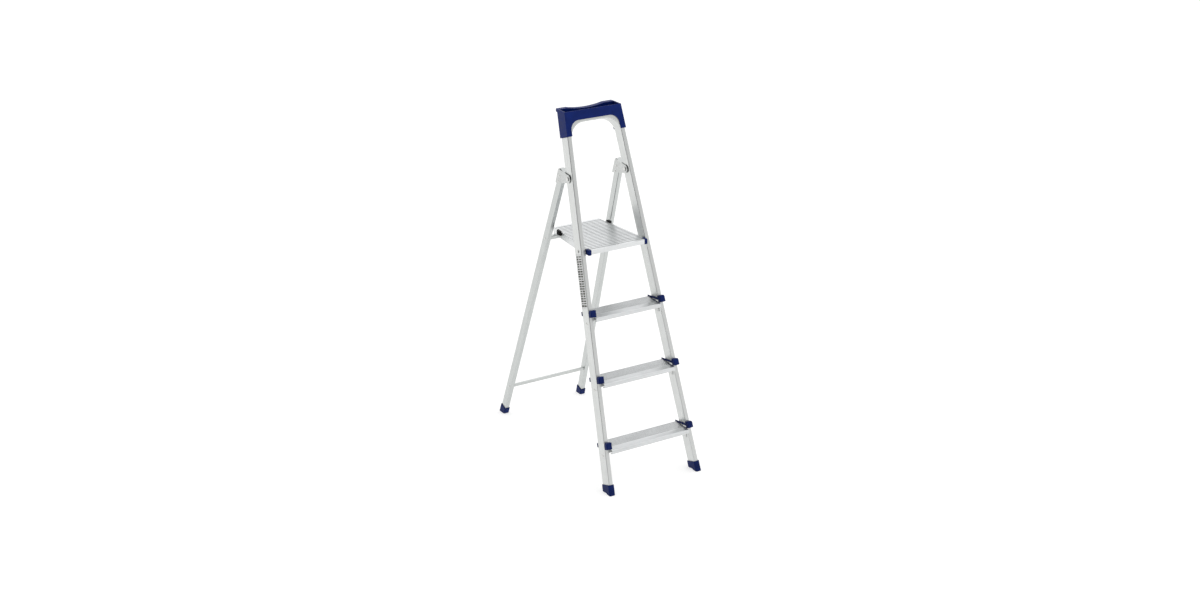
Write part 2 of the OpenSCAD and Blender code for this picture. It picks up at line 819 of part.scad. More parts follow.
hinge_pin(RIGHT);  // hinge_pin_right
hinge_washers();
pivot_pin(LEFT);  // pivot_pin_left
pivot_pin(RIGHT);  // pivot_pin_right
pivot_washers();
leg(LEFT);  // leg_left
leg(RIGHT);  // leg_right
rear_foot(LEFT);  // rear_foot_left
rear_foot(RIGHT);  // rear_foot_right
hinge_bracket(LEFT);  // hinge_bracket_left
hinge_bracket(RIGHT);  // hinge_bracket_right
bracket_rivets();
rear_crossbar();
crossbar_rivets();
latch_bar();
latch_rivets();
deck();
deck_rail(LEFT);  // deck_rail_left
deck_rail(RIGHT);  // deck_rail_right
rail_rivets();
deck_cap(LEFT);  // deck_cap_left
deck_cap(RIGHT);  // deck_cap_right
latch_hook(LEFT);  // latch_hook_left
latch_hook(RIGHT);  // latch_hook_right
hook_rivets();
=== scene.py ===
# %% [markdown]
# # A platform step ladder, finished for show
# A step ladder like this is almost all extruded aluminium: box tubes for the stiles, the hoop
# and the rear legs, ribbed extrusions for the treads and the platform, and pressed brackets.
# Blue and black plastic mouldings hold the pieces together and cover their ends. The frame
# that is loaded here already has every size, joint and place. What is left to make is what
# the eye meets: rounded edges, drawn metal, moulded plastic, and soft light to show them.

# %% Load the frame and keep its box
import json
import math

import bmesh
import bpy
import numpy as np
from mathutils import Matrix, Vector


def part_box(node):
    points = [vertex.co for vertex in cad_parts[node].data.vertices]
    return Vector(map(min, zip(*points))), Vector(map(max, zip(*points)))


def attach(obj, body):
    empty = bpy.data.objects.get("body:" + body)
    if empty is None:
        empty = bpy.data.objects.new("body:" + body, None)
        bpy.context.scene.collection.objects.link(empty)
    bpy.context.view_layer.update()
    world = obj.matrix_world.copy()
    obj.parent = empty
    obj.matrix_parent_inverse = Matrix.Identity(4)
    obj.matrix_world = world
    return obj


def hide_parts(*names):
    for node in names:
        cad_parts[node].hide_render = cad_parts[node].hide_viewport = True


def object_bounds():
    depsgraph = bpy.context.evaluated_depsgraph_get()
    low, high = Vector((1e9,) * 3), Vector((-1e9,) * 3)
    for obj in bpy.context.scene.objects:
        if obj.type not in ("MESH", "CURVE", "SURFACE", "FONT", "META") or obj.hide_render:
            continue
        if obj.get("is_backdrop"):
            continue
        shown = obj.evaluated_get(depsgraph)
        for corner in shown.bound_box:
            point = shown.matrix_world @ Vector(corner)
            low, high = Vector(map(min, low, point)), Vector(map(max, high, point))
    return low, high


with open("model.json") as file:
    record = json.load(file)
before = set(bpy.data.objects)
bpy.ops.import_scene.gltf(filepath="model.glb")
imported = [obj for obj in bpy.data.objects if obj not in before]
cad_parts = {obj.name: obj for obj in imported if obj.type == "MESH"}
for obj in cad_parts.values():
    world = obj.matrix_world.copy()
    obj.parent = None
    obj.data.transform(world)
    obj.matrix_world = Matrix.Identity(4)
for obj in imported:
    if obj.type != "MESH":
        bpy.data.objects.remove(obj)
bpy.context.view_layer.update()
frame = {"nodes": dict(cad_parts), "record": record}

MM = 0.001
X_AXIS = Vector((1, 0, 0))
SIDES = ("left", "right")

# %% [markdown]
# ## The camera
# The camera stands to the front left of the ladder and looks down on it from above head
# height, through a short telephoto lens, so the treads show their tops and the left stile its
# outer side. It is placed by a point to look at, two angles and a distance, because those
# four values say what the view is, where a bare position would not.

# %% Camera
VIEW_AZIMUTH = math.radians(31.51)
VIEW_ELEVATION = math.radians(21.361)
VIEW_DISTANCE = 6.6
LENS_MM = 52.593
SENSOR_MM = 36
FARTHEST = 200                 # metres that the camera still draws
look_at = Vector((0.0041, -0.0272, 0.5926))

camera_data = bpy.data.cameras.new("camera")
camera_data.lens = LENS_MM
camera_data.sensor_width = SENSOR_MM
camera_data.clip_end = FARTHEST
camera = bpy.data.objects.new("camera", camera_data)
camera.rotation_euler = (math.pi / 2 - VIEW_ELEVATION, 0, -VIEW_AZIMUTH)
forward = camera.rotation_euler.to_matrix() @ Vector((0, 0, -1))
camera.location = look_at - forward * VIEW_DISTANCE
bpy.context.scene.collection.objects.link(camera)
bpy.context.scene.camera = camera
print("camera at", [round(v, 3) for v in camera.location])

# %% [markdown]
# ## Colours and shader nodes
# Colours are written the way a paint chart or a web page gives them, as sRGB hex, and a
# shader wants linear light, so one function turns the first into the second. One more adds
# a node, fills in its sockets and joins its wires. Every material below is built with it.

# %% Helpers for materials
def linear(hex_code):
    """An sRGB hex colour such as "C8CACC" as linear RGBA."""
    channels = [int(hex_code[i:i + 2], 16) / 255 for i in (0, 2, 4)]
    light = [c / 12.92 if c <= 0.04045 else ((c + 0.055) / 1.055) ** 2.4 for c in channels]
    return (*light, 1.0)


def add(tree, kind, values=None, links=None, **settings):
    """Adds a node: settings are its options, values its sockets, links what feeds them."""
    node = tree.nodes.new(kind)
    for option, value in settings.items():
        setattr(node, option, value)
    for socket, value in (values or {}).items():
        node.inputs[socket].default_value = value
    for socket, source in (links or {}).items():
        tree.links.new(source, node.inputs[socket])
    return node


def start_material(name):
    """A new material with its node tree and its Principled shader."""
    material = bpy.data.materials.new(name)
    material.use_nodes = True
    tree = material.node_tree
    return material, tree, tree.nodes["Principled BSDF"]


print("light grey", [round(c, 3) for c in linear("C8CACC")])

# %% [markdown]
# ## Extruded aluminium
# Aluminium leaves the die with faint lines along its length, a few tenths of a millimetre
# apart, where the steel has scratched it. They make the metal shine in soft streaks: bright
# across the lines and blurred along them. Noise that is stretched a hundred times along the
# length gives such lines, and it drives the roughness, a little of the colour and a shallow
# bump. The lines are drawn about 1 mm apart, wider than real ones, so that they show.
# A tube carries its own coordinates, made when it is swept, so the lines follow its bends.
# A tread or a platform runs straight across the ladder and reads the Object coordinates.
# Their grooves get a painted shade: the colour is greyed there for the shadow that falls
# into them. Every top lies one rise above the last, so the fraction of a rise below the
# nearest top tells how deep in a groove a point is.

# %% Drawn and pressed aluminium
DIE_LINE = 1.1 * MM
HANDLING_MARK = 45 * MM
FIRST_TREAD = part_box("tread_1")[1].z
TREAD_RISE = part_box("tread_2")[1].z - FIRST_TREAD
DULLED = 0.86                   # share of the colour left in the dullest die line
# painted shade: the share of the colour left deep in a groove, where shadow falls into it
GROOVE_PAINTED_SHADE = 0.45
GROOVE_STARTS = (0.2 * MM, 0.8 * MM)    # below the top, where the grey sets in
GROOVE_ENDS = (1.4 * MM, 1.5 * MM)      # and where it is over, below the deepest groove
FLAT_TOP = (0.997, 0.999)               # how upright a face is, so the sloped nose stays bright
TOP_MARGIN = 0.0001                     # of a rise, so that a top isn't taken for a full rise
MIX_A, MIX_B, MIX_OUT = 6, 7, 2         # the colour sockets of a Mix node, by place


def painted_groove_shade(tree):
    """Painted shade for the grooves of a tread or of the platform: grey in them, white elsewhere.
    """
    place = add(tree, "ShaderNodeTexCoord").outputs["Object"]
    height = add(tree, "ShaderNodeSeparateXYZ", links={"Vector": place}).outputs["Z"]
    steps = add(tree, "ShaderNodeMath", operation="MULTIPLY_ADD",
                values={1: -1 / TREAD_RISE, 2: FIRST_TREAD / TREAD_RISE + TOP_MARGIN},
                links={0: height})
    below_top = add(tree, "ShaderNodeMath", operation="FRACT",
                    links={0: steps.outputs["Value"]}).outputs["Value"]
    deep = add(tree, "ShaderNodeMapRange", interpolation_type="SMOOTHSTEP",
               values={"From Min": GROOVE_STARTS[0] / TREAD_RISE,
                       "From Max": GROOVE_STARTS[1] / TREAD_RISE},
               links={"Value": below_top})
    shallow = add(tree, "ShaderNodeMapRange",
                  values={"From Min": GROOVE_ENDS[0] / TREAD_RISE,
                          "From Max": GROOVE_ENDS[1] / TREAD_RISE, "To Min": 1, "To Max": 0},
                  links={"Value": below_top})
    facing = add(tree, "ShaderNodeNewGeometry").outputs["True Normal"]
    own_facing = add(tree, "ShaderNodeVectorTransform", vector_type="NORMAL",
                     convert_from="WORLD", convert_to="OBJECT", links={"Vector": facing})
    upright = add(tree, "ShaderNodeSeparateXYZ",
                  links={"Vector": own_facing.outputs["Vector"]}).outputs["Z"]
    flat = add(tree, "ShaderNodeMapRange",
               values={"From Min": FLAT_TOP[0], "From Max": FLAT_TOP[1]},
               links={"Value": upright})
    at_depth = add(tree, "ShaderNodeMath", operation="MULTIPLY",
                   links={0: deep.outputs["Result"], 1: shallow.outputs["Result"]})
    in_groove = add(tree, "ShaderNodeMath", operation="MULTIPLY",
                    links={0: at_depth.outputs["Value"], 1: flat.outputs["Result"]})
    grey = add(tree, "ShaderNodeMapRange", values={"To Min": 1, "To Max": GROOVE_PAINTED_SHADE},
               links={"Value": in_groove.outputs["Value"]})
    return grey.outputs["Result"]


def drawn_aluminium(name, colour, stretch, own_coordinates=False, roughness=0.3,
                    paint_groove_shade=False):
    """Mill-finish aluminium with die lines along the axis whose stretch is small."""
    material, tree, shader = start_material(name)
    if own_coordinates:
        place = add(tree, "ShaderNodeAttribute", attribute_name="skin").outputs["Vector"]
    else:
        place = add(tree, "ShaderNodeTexCoord").outputs["Object"]
    drawn = add(tree, "ShaderNodeMapping", values={"Scale": stretch}, links={"Vector": place})
    lines = add(tree, "ShaderNodeTexNoise", values={"Scale": 0.5 / DIE_LINE, "Detail": 2.5},
                links={"Vector": drawn.outputs["Vector"]})
    marks = add(tree, "ShaderNodeTexNoise", values={"Scale": 1 / HANDLING_MARK, "Detail": 3},
                links={"Vector": place})
    both = add(tree, "ShaderNodeMath", operation="MULTIPLY_ADD", values={1: 0.4},
               links={0: marks.outputs["Fac"], 2: lines.outputs["Fac"]})
    shade = add(tree, "ShaderNodeValToRGB", links={"Fac": both.outputs["Value"]})
    dull = [c * DULLED for c in linear(colour)[:3]]
    shade.color_ramp.elements[0].position = 0.35
    shade.color_ramp.elements[0].color = (*dull, 1)
    shade.color_ramp.elements[1].position = 0.95
    shade.color_ramp.elements[1].color = linear(colour)
    gloss = add(tree, "ShaderNodeMapRange",
                values={"From Min": 0.4, "From Max": 0.95,
                        "To Min": roughness + 0.1, "To Max": roughness - 0.06},
                links={"Value": both.outputs["Value"]})
    bump = add(tree, "ShaderNodeBump", values={"Strength": 0.12, "Distance": 0.1 * MM},
               links={"Height": lines.outputs["Fac"]})
    shader.inputs["Metallic"].default_value = 1
    metal_colour = shade.outputs["Color"]
    # painted shade: the grooves of a tread or of the platform are greyed for the shadow in them
    if paint_groove_shade:
        shaded = add(tree, "ShaderNodeMix", data_type="RGBA", blend_type="MULTIPLY",
                     values={0: 1.0}, links={MIX_A: metal_colour, MIX_B: painted_groove_shade(tree)})
        metal_colour = shaded.outputs[MIX_OUT]
    tree.links.new(metal_colour, shader.inputs["Base Color"])
    tree.links.new(gloss.outputs["Result"], shader.inputs["Roughness"])
    tree.links.new(bump.outputs["Normal"], shader.inputs["Normal"])
    return material


ALONG_SKIN = (1, 1, 0.01)
ALONG_X = (0.01, 1, 1)
EVEN = (0.35, 0.35, 0.35)
tube_metal = drawn_aluminium("mill_finish_stile_tube", "D6D8D7", ALONG_SKIN,
                             own_coordinates=True)
leg_metal = drawn_aluminium("mill_finish_leg_tube", "C9CCCB", ALONG_SKIN,
                            own_coordinates=True)
tread_metal = drawn_aluminium("ribbed_tread_extrusion", "D8DADB", ALONG_X, roughness=0.36,
                              paint_groove_shade=True)
deck_metal = drawn_aluminium("bright_platform_extrusion", "E0E2E3", ALONG_X, roughness=0.33,
                             paint_groove_shade=True)
pressed_metal = drawn_aluminium("pressed_aluminium_sheet", "CDCFCE", EVEN, roughness=0.38)
rivet_metal = drawn_aluminium("peened_rivet_aluminium", "D8D8D6", EVEN, roughness=0.24)
print("six aluminium finishes, die lines", round(DIE_LINE / MM, 2), "mm apart")

# %% [markdown]
# ## Moulded plastic
# The shoes, the clamps and the cap are polypropylene, moulded against steel that was sparked
# to a fine grain. The grain breaks a highlight up without hiding it, and the melt cools with
# slow, cloudy changes of gloss. Two noises do that: a fine one for the grain, drawn 0.7 mm
# wide so that it shows, and a broad one for the clouds. The black fittings are nylon, which
# is denser and duller, and take the same recipe with other values.

# %% Blue and black mouldings
GRAIN = 0.7 * MM
MELT_CLOUD = 30 * MM
PLASTIC_SPECULAR = 0.12         # low, because the sparked grain scatters most of the gloss


def moulded_plastic(name, colour, deep, roughness):
    """Spark-textured moulded plastic that drifts between two close colours."""
    material, tree, shader = start_material(name)
    shader.inputs["Specular IOR Level"].default_value = PLASTIC_SPECULAR
    place = add(tree, "ShaderNodeTexCoord").outputs["Object"]
    cloud = add(tree, "ShaderNodeTexNoise", values={"Scale": 1 / MELT_CLOUD, "Detail": 2},
                links={"Vector": place})
    grain = add(tree, "ShaderNodeTexNoise", values={"Scale": 0.5 / GRAIN, "Detail": 2},
                links={"Vector": place})
    shade = add(tree, "ShaderNodeValToRGB", links={"Fac": cloud.outputs["Fac"]})
    shade.color_ramp.elements[0].position = 0.3
    shade.color_ramp.elements[0].color = linear(deep)
    shade.color_ramp.elements[1].position = 0.7
    shade.color_ramp.elements[1].color = linear(colour)
    gloss = add(tree, "ShaderNodeMapRange",
                values={"From Min": 0.3, "From Max": 0.7,
                        "To Min": roughness - 0.05, "To Max": roughness + 0.07},
                links={"Value": cloud.outputs["Fac"]})
    bump = add(tree, "ShaderNodeBump", values={"Strength": 0.35, "Distance": 0.08 * MM},
               links={"Height": grain.outputs["Fac"]})
    tree.links.new(shade.outputs["Color"], shader.inputs["Base Color"])
    tree.links.new(gloss.outputs["Result"], shader.inputs["Roughness"])
    tree.links.new(bump.outputs["Normal"], shader.inputs["Normal"])
    return material


cap_plastic = moulded_plastic("royal_blue_polypropylene", "05226A", "041C5C", 0.42)
fitting_plastic = moulded_plastic("navy_blue_polypropylene", "061F5C", "05194E", 0.45)
black_plastic = moulded_plastic("black_nylon", "121214", "0B0B0D", 0.48)
print("three plastics, grain", round(GRAIN / MM, 2), "mm")

# %% [markdown]
# ## Where the tubes run
# A tube's path is read from the frame. A straight tube is a ring of points at each cut end,
# and the middle of each ring is a point on its centre line. Two tubes that lean together
# share a plane, and inside that plane a path is a flat drawing, which is the easiest thing
# to bend and to sweep. So each pair gets a matrix that lays the flat drawing into place.

# %% Centre lines and planes from the frame
RING_DEPTH = 1 * MM


def loose_points(node):
    """The node's corner points, each once."""
    points = {tuple(round(c, 6) for c in v.co) for v in frame["nodes"][node].data.vertices}
    return np.array(sorted(points))


def tube_ends(node):
    """Centres of the two cut ends of a straight tube, in order along its main axis."""
    points = loose_points(node)
    middle = points.mean(0)
    axis = np.linalg.svd(points - middle)[2][0]
    axis = axis * (1 if axis[np.argmax(abs(axis))] > 0 else -1)
    for _ in range(2):
        along = points @ axis
        first = points[along < along.min() + RING_DEPTH]
        last = points[along > along.max() - RING_DEPTH]
        start = (first.min(0) + first.max(0)) / 2
        end = (last.min(0) + last.max(0)) / 2
        axis = (end - start) / np.linalg.norm(end - start)
    return Vector(start), Vector(end)


def shared_plane(left, right):
    """Matrix with X across the ladder, Y up between two tubes and Z out of their plane."""
    low = (left[0] + right[0]) / 2
    up = ((left[1] + right[1]) / 2 - low).normalized()
    out = X_AXIS.cross(up)
    turn = Matrix((X_AXIS, up, out)).transposed()
    return Matrix.Translation(low) @ turn.to_4x4()


stiles = [tube_ends(f"stile_{side}") for side in SIDES]
legs = [tube_ends(f"leg_{side}") for side in SIDES]
front_plane = shared_plane(*stiles)
rear_plane = shared_plane(*legs)
lean = math.degrees(math.atan2(front_plane[1][1], front_plane[2][1]))
print("the stiles lean", round(lean, 2), "degrees")

# %% [markdown]
# ## Geometry Nodes in a few lines
# What repeats, and what follows a path, is made by Geometry Nodes. A node tree is a small
# machine with named inputs: feed it a bare line and some sizes, and it gives back a part.
# The result is then baked into a plain mesh, so that nothing is left to compute later.

# %% Helpers for node trees and finished pieces
def start_tree(name, sockets):
    """A node tree with a geometry input, the given inputs, and a geometry output."""
    tree = bpy.data.node_groups.new(name, "GeometryNodeTree")
    face = tree.interface
    face.new_socket("Geometry", in_out="INPUT", socket_type="NodeSocketGeometry")
    for title, kind in sockets.items():
        face.new_socket(title, in_out="INPUT", socket_type=f"NodeSocket{kind}")
    face.new_socket("Geometry", in_out="OUTPUT", socket_type="NodeSocketGeometry")
    return tree, add(tree, "NodeGroupInput").outputs


def end_tree(tree, geometry, material):
    """Realizes a tree's instances, gives them their material and joins up the output."""
    real = add(tree, "GeometryNodeRealizeInstances", links={"Geometry": geometry})
    painted = add(tree, "GeometryNodeSetMaterial",
                  links={"Geometry": real.outputs["Geometry"], "Material": material})
    add(tree, "NodeGroupOutput", links={"Geometry": painted.outputs["Geometry"]})


def new_object(name, mesh):
    """Links a mesh into the scene as an object at the origin."""
    piece = bpy.data.objects.new(name, mesh)
    bpy.context.scene.collection.objects.link(piece)
    return piece


def baked(piece):
    """The piece with its modifiers turned into plain mesh."""
    graph = bpy.context.evaluated_depsgraph_get()
    mesh = bpy.data.meshes.new_from_object(piece.evaluated_get(graph), depsgraph=graph)
    piece.modifiers.clear()
    piece.data = mesh
    mesh.name = piece.name
    return piece


def grown(name, mesh, tree, place=None, **inputs):
    """The plain mesh object that a tree grows from a mesh, laid into its place."""
    piece = new_object(name, mesh)
    modifier = piece.modifiers.new(tree.name, "NODES")
    modifier.node_group = tree
    identifiers = {s.name: s.identifier for s in tree.interface.items_tree
                   if s.in_out == "INPUT"}
    for title, value in inputs.items():
        modifier[identifiers[title]] = value
    piece = baked(piece)
    piece.data.transform(place or Matrix.Identity(4))
    return piece


SHARP = math.radians(35)
BY_AREA = 100                   # all the weight of a normal goes to the larger face


def flat_and_round(piece):
    """Flat faces stay flat and rounded edges smooth: normals weighted by face area."""
    piece.data.shade_smooth()
    piece.data.set_sharp_from_angle(angle=SHARP)
    weights = piece.modifiers.new("weights", "WEIGHTED_NORMAL")
    weights.keep_sharp = True
    weights.weight = BY_AREA
    return baked(piece)


def hand_over(piece, body, slot, *nodes):
    """Rides the piece on its body, in place of the CAD nodes it stands for."""
    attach(piece, body)
    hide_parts(*nodes)
    print(piece.name, "rides on", body, "with", len(piece.data.polygons), "faces")


# %% [markdown]
# ## Box tubes
# The stiles and the hoop over them are one 47 by 18 mm box tube with 3 mm corners, bent
# twice. A mesh tube could be modelled face by face, but its rule is simple: one rounded
# rectangle follows one path. The tree turns a line into a curve, rounds its corners with
# Fillet Curve and sweeps the rectangle along it with Curve to Mesh. It also stores each
# point's place on the straightened tube, in "skin", for the die lines to follow.

# %% A tree that sweeps a box tube along a path
BEND_STEPS = 28
CORNER_STEPS = 6


def tube_tree():
    """Path in, box tube out."""
    tree, given = start_tree("box_tube", {
        "Width": "Float", "Depth": "Float", "Corner": "Float", "Bend": "Float",
        "Material": "Material"})
    line = add(tree, "GeometryNodeMeshToCurve", links={"Mesh": given["Geometry"]})
    path = add(tree, "GeometryNodeFilletCurve",
               values={"Count": BEND_STEPS, "Limit Radius": True},
               links={"Curve": line.outputs["Curve"], "Radius": given["Bend"]}, mode="POLY")
    length = add(tree, "GeometryNodeSplineParameter")
    path = add(tree, "GeometryNodeStoreNamedAttribute", values={"Name": "along"},
               links={"Geometry": path.outputs["Curve"], "Value": length.outputs["Length"]},
               data_type="FLOAT", domain="POINT")
    box = add(tree, "GeometryNodeCurvePrimitiveQuadrilateral",
              links={"Width": given["Width"], "Height": given["Depth"]})
    section = add(tree, "GeometryNodeFilletCurve",
                  values={"Count": CORNER_STEPS, "Limit Radius": True},
                  links={"Curve": box.outputs["Curve"], "Radius": given["Corner"]},
                  mode="POLY")
    corner = add(tree, "GeometryNodeInputPosition")
    section = add(tree, "GeometryNodeStoreNamedAttribute", values={"Name": "section"},
                  links={"Geometry": section.outputs["Curve"],
                         "Value": corner.outputs["Position"]},
                  data_type="FLOAT_VECTOR", domain="POINT")
    sweep = add(tree, "GeometryNodeCurveToMesh", values={"Fill Caps": True},
                links={"Curve": path.outputs["Geometry"],
                       "Profile Curve": section.outputs["Geometry"]})
    around = add(tree, "GeometryNodeInputNamedAttribute", values={"Name": "section"},
                 data_type="FLOAT_VECTOR")
    along = add(tree, "GeometryNodeInputNamedAttribute", values={"Name": "along"},
                data_type="FLOAT")
    parts = add(tree, "ShaderNodeSeparateXYZ",
                links={"Vector": around.outputs["Attribute"]})
    straight = add(tree, "ShaderNodeCombineXYZ",
                   links={"X": parts.outputs["X"], "Y": parts.outputs["Y"],
                          "Z": along.outputs["Attribute"]})
    skin = add(tree, "GeometryNodeStoreNamedAttribute", values={"Name": "skin"},
               links={"Geometry": sweep.outputs["Mesh"], "Value": straight.outputs["Vector"]},
               data_type="FLOAT_VECTOR", domain="POINT")
    end_tree(tree, skin.outputs["Geometry"], given["Material"])
    return tree


def line_mesh(points):
    """A mesh of single edges that joins the points in order."""
    mesh = bpy.data.meshes.new("path")
    mesh.from_pydata([tuple(p) for p in points], [(i, i + 1) for i in range(len(points) - 1)], [])
    return mesh


box_tube = tube_tree()


def make_tube(name, points, place, width, depth, corner, bend=0.0, metal=tube_metal):
    """Sweeps a box tube along points that are given in the ladder's own axes."""
    flat = [place.inverted() @ p for p in points]
    piece = grown(name, line_mesh(flat), box_tube, place, Width=width, Depth=depth,
                  Corner=corner, Bend=bend, Material=metal)
    return flat_and_round(piece)


# %% The front hoop, the rear legs and their bars
TUBE_CORNER = 3 * MM
STILE_SECTION = (18 * MM, 47 * MM)
LEG_SECTION = (18 * MM, 31 * MM)
BAR_CORNER = 2.5 * MM
HOOP_BEND = 69 * MM            # at the tube's centre line

rail = tube_ends("hoop_rail")
rail_height = (front_plane.inverted() @ rail[0]).y


def under_rail(stile):
    """Where a stile's centre line meets the centre line of the hoop's top."""
    low, high = (front_plane.inverted() @ p for p in stile)
    reach = (rail_height - low.y) / (high.y - low.y)
    return front_plane @ low.lerp(high, reach)


hoop_path = [stiles[0][0], under_rail(stiles[0]), under_rail(stiles[1]), stiles[1][0]]
hoop = make_tube("stiles_and_hoop", hoop_path, front_plane, *STILE_SECTION, TUBE_CORNER,
                 HOOP_BEND)
hand_over(hoop, "front_frame", "tube_aluminium", "stile_left", "stile_right",
          "hoop_bend_left", "hoop_bend_right", "hoop_rail")

for side, ends in zip(SIDES, legs):
    leg = make_tube(f"rear_leg_{side}", ends, rear_plane, *LEG_SECTION, TUBE_CORNER,
                    metal=leg_metal)
    hand_over(leg, "rear_frame", "tube_aluminium", f"leg_{side}")

for node in ("latch_bar", "rear_crossbar"):
    low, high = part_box(node)
    middle = (low + high) / 2
    ends = [Vector((x, middle.y, middle.z)) for x in (low.x, high.x)]
    bar = make_tube(f"{node}_tube", ends, Matrix.Identity(4), high.y - low.y,
                    high.z - low.z, BAR_CORNER, metal=leg_metal)
    hand_over(bar, "rear_frame", "tube_aluminium", node)

# %% [markdown]
# ## Mouldings and pressings
# Plastic is never sharp at its edges: the mould has a radius wherever the tool maker could
# not, or would not, cut a corner, and a pressed bracket rounds over where it is sheared.
# The CAD shapes are right but crisp. So each is copied, its triangles are merged back into
# flat faces, and the Bevel modifier rounds every edge that turns sharply.

# %% Round the edges of a copied CAD shape
def softened(name, nodes, radius, material, segments=3):
    """A copy of CAD nodes with rounded edges."""
    shape = bmesh.new()
    for node in nodes:
        shape.from_mesh(frame["nodes"][node].data)
    bmesh.ops.remove_doubles(shape, verts=shape.verts, dist=0.01 * MM)
    bmesh.ops.dissolve_limit(shape, angle_limit=math.radians(0.5), verts=shape.verts,
                             edges=shape.edges)
    mesh = bpy.data.meshes.new(name)
    shape.to_mesh(mesh)
    shape.free()
    mesh.materials.clear()
    mesh.materials.append(material)
    for face in mesh.polygons:
        face.material_index = 0
    piece = new_object(name, mesh)
    rounding = piece.modifiers.new("rounding", "BEVEL")
    rounding.width = radius
    rounding.segments = segments
    rounding.limit_method = "ANGLE"
    rounding.angle_limit = SHARP
    rounding.use_clamp_overlap = True
    return flat_and_round(baked(piece))


MOULDED_EDGE = 1.2 * MM
CLAMP_EDGE = 1.5 * MM
CORNER_CAP_EDGE = 1.4 * MM
BRACKET_EDGE = 0.5 * MM
CLEAT_EDGE = 0.4 * MM
PIN_EDGE = 0.6 * MM

for side in SIDES:
    shoe = softened(f"shoe_{side}", [f"front_foot_{side}"], MOULDED_EDGE, fitting_plastic)
    hand_over(shoe, "front_frame", "blue_plastic", f"front_foot_{side}")
    boot = softened(f"boot_{side}", [f"rear_foot_{side}"], MOULDED_EDGE, fitting_plastic)
    hand_over(boot, "rear_frame", "blue_plastic", f"rear_foot_{side}")
    for n in (1, 2, 3):
        clamp = softened(f"tread_clamp_{n}_{side}", [f"clamp_{n}_{side}"], CLAMP_EDGE,
                         fitting_plastic)
        hand_over(clamp, "front_frame", "blue_plastic", f"clamp_{n}_{side}")
        cleat = softened(f"tread_cleat_{n}_{side}", [f"cleat_{n}_{side}"], CLEAT_EDGE,
                         pressed_metal, segments=2)
        hand_over(cleat, "front_frame", "pressed_aluminium", f"cleat_{n}_{side}")
    bracket = softened(f"pressed_bracket_{side}", [f"hinge_bracket_{side}"], BRACKET_EDGE,
                       pressed_metal, segments=2)
    hand_over(bracket, "rear_frame", "pressed_aluminium", f"hinge_bracket_{side}")
    corner = softened(f"corner_cap_{side}", [f"deck_cap_{side}"], CORNER_CAP_EDGE,
                      fitting_plastic)
    hand_over(corner, "platform", "blue_plastic", f"deck_cap_{side}")
    hook = softened(f"hook_{side}", [f"latch_hook_{side}"], CLAMP_EDGE, black_plastic)
    hand_over(hook, "platform", "black_plastic", f"latch_hook_{side}")

cap = softened("hoop_cap", ["top_cap"], MOULDED_EDGE, cap_plastic)
hand_over(cap, "front_frame", "blue_plastic", "top_cap")

for node in ("hinge_pin_left", "hinge_pin_right", "pivot_pin_left", "pivot_pin_right"):
    pin = softened(f"{node}_rounded", [node], PIN_EDGE, rivet_metal)
    hand_over(pin, "front_frame", "rivet_metal", node)

# %% [markdown]
# ## Rivets
# A blind rivet has a low dome on the side it is pulled from, with the end of its mandrel in
# the middle. Here 22 rivets have 38 heads between them, all the same dome at other places,
# which is what instancing is for. The frame says where: each rivet there is a closed
# cylinder with a flat head at one end or both, so its axis is the direction in which its
# points spread differently from the other two. The six rivets of the rails are flush, with
# no head, and stay as they are.

# %% A tree that sets a rivet head and shank at each point
def rivet_tree():
    """Points with an axis and a length in, domed rivets out."""
    tree, given = start_tree("rivets", {"Head": "Float", "Rise": "Float", "Shank": "Float",
                                        "Material": "Material"})
    axis = add(tree, "GeometryNodeInputNamedAttribute", values={"Name": "axis"},
               data_type="FLOAT_VECTOR").outputs["Attribute"]
    length = add(tree, "GeometryNodeInputNamedAttribute", values={"Name": "length"},
                 data_type="FLOAT").outputs["Attribute"]
    turn = add(tree, "FunctionNodeAlignRotationToVector", axis="Z",
               links={"Vector": axis}).outputs["Rotation"]
    ball = add(tree, "GeometryNodeMeshUVSphere",
               values={"Segments": 24, "Rings": 12, "Radius": 1.0}).outputs["Mesh"]
    half = add(tree, "ShaderNodeMath", operation="MULTIPLY", values={1: 0.5},
               links={0: given["Head"]}).outputs["Value"]
    size = add(tree, "ShaderNodeCombineXYZ",
               links={"X": half, "Y": half, "Z": given["Rise"]}).outputs["Vector"]
    dome = add(tree, "GeometryNodeTransform", links={"Geometry": ball, "Scale": size})
    mandrel = add(tree, "GeometryNodeTransform", values={"Scale": MANDREL},
                  links={"Geometry": dome.outputs["Geometry"]})
    head = add(tree, "GeometryNodeJoinGeometry")
    for part in (dome, mandrel):
        tree.links.new(part.outputs["Geometry"], head.inputs["Geometry"])
    radius = add(tree, "ShaderNodeMath", operation="MULTIPLY", values={1: 0.5},
                 links={0: given["Shank"]}).outputs["Value"]
    rod = add(tree, "GeometryNodeMeshCylinder", values={"Vertices": 16, "Depth": 1.0},
              links={"Radius": radius}).outputs["Mesh"]
    rod = add(tree, "GeometryNodeTransform", values={"Translation": (0, 0, -0.5)},
              links={"Geometry": rod}).outputs["Geometry"]
    stretch = add(tree, "ShaderNodeCombineXYZ", values={"X": 1, "Y": 1},
                  links={"Z": length}).outputs["Vector"]
    heads = add(tree, "GeometryNodeInstanceOnPoints",
                links={"Points": given["Geometry"], "Instance": head.outputs["Geometry"],
                       "Rotation": turn})
    shanks = add(tree, "GeometryNodeInstanceOnPoints",
                 links={"Points": given["Geometry"], "Instance": rod, "Rotation": turn,
                        "Scale": stretch})
    both = add(tree, "GeometryNodeJoinGeometry")
    for part in (heads, shanks):
        tree.links.new(part.outputs["Instances"], both.inputs["Geometry"])
    end_tree(tree, both.outputs["Geometry"], given["Material"])
    return tree


